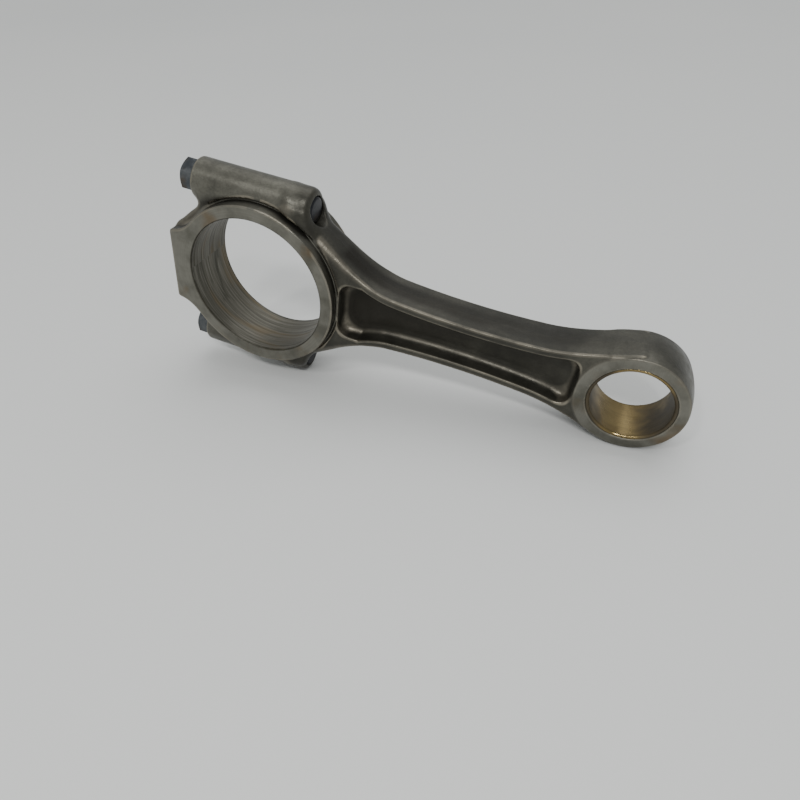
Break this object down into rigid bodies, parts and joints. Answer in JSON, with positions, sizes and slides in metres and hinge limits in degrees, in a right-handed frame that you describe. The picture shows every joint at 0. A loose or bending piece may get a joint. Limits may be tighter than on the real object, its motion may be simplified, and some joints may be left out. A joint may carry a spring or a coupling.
{
  "type": "connecting rod",
  "caption": "Forged I-section connecting rod with a bolted bearing cap, through bolts with hexagon nuts, and a bronze small-end bush.",
  "frame": {"origin": "centre of the big-end housing bore, midway between the two thrust faces", "axes": "+X along the rod to the small end, +Y along both bores, +Z across the rod towards the upper bolt; the cap's joint face is the plane x = 0"},
  "size_m": [0.2158, 0.0266, 0.087],
  "materials": {
    "forged_steel": "oiled dark forging skin, with machined faces left bright",
    "forged_cap": "oiled dark forging skin, with machined faces left bright",
    "bronze": "bored and lightly stained bronze",
    "bolt_steel": "blued heat-treated steel with an oily film",
    "nut_steel": "blued heat-treated steel with an oily film"
  },
  "bodies": {
    "rod": {"rod_body": "forged_steel", "small_end_bush": "bronze", "bolt_upper": "bolt_steel", "bolt_lower": "bolt_steel"},
    "cap": {"cap": "forged_cap"},
    "nut_upper": {"nut_upper": "nut_steel"},
    "nut_lower": {"nut_lower": "nut_steel"}
  },
  "joints": [
    {"name": "cap_off", "type": "slide", "parent": "rod", "child": "cap", "axis": [-1, 0, 0], "range_m": [0, 0.06]},
    {"name": "nut_upper_turn", "type": "hinge", "parent": "cap", "child": "nut_upper", "pos_m": [-0.0328, 0, 0.0352], "axis": [-1, 0, 0], "continuous": true},
    {"name": "nut_lower_turn", "type": "hinge", "parent": "cap", "child": "nut_lower", "pos_m": [-0.0328, 0, -0.0352], "axis": [-1, 0, 0], "continuous": true}
  ]
}
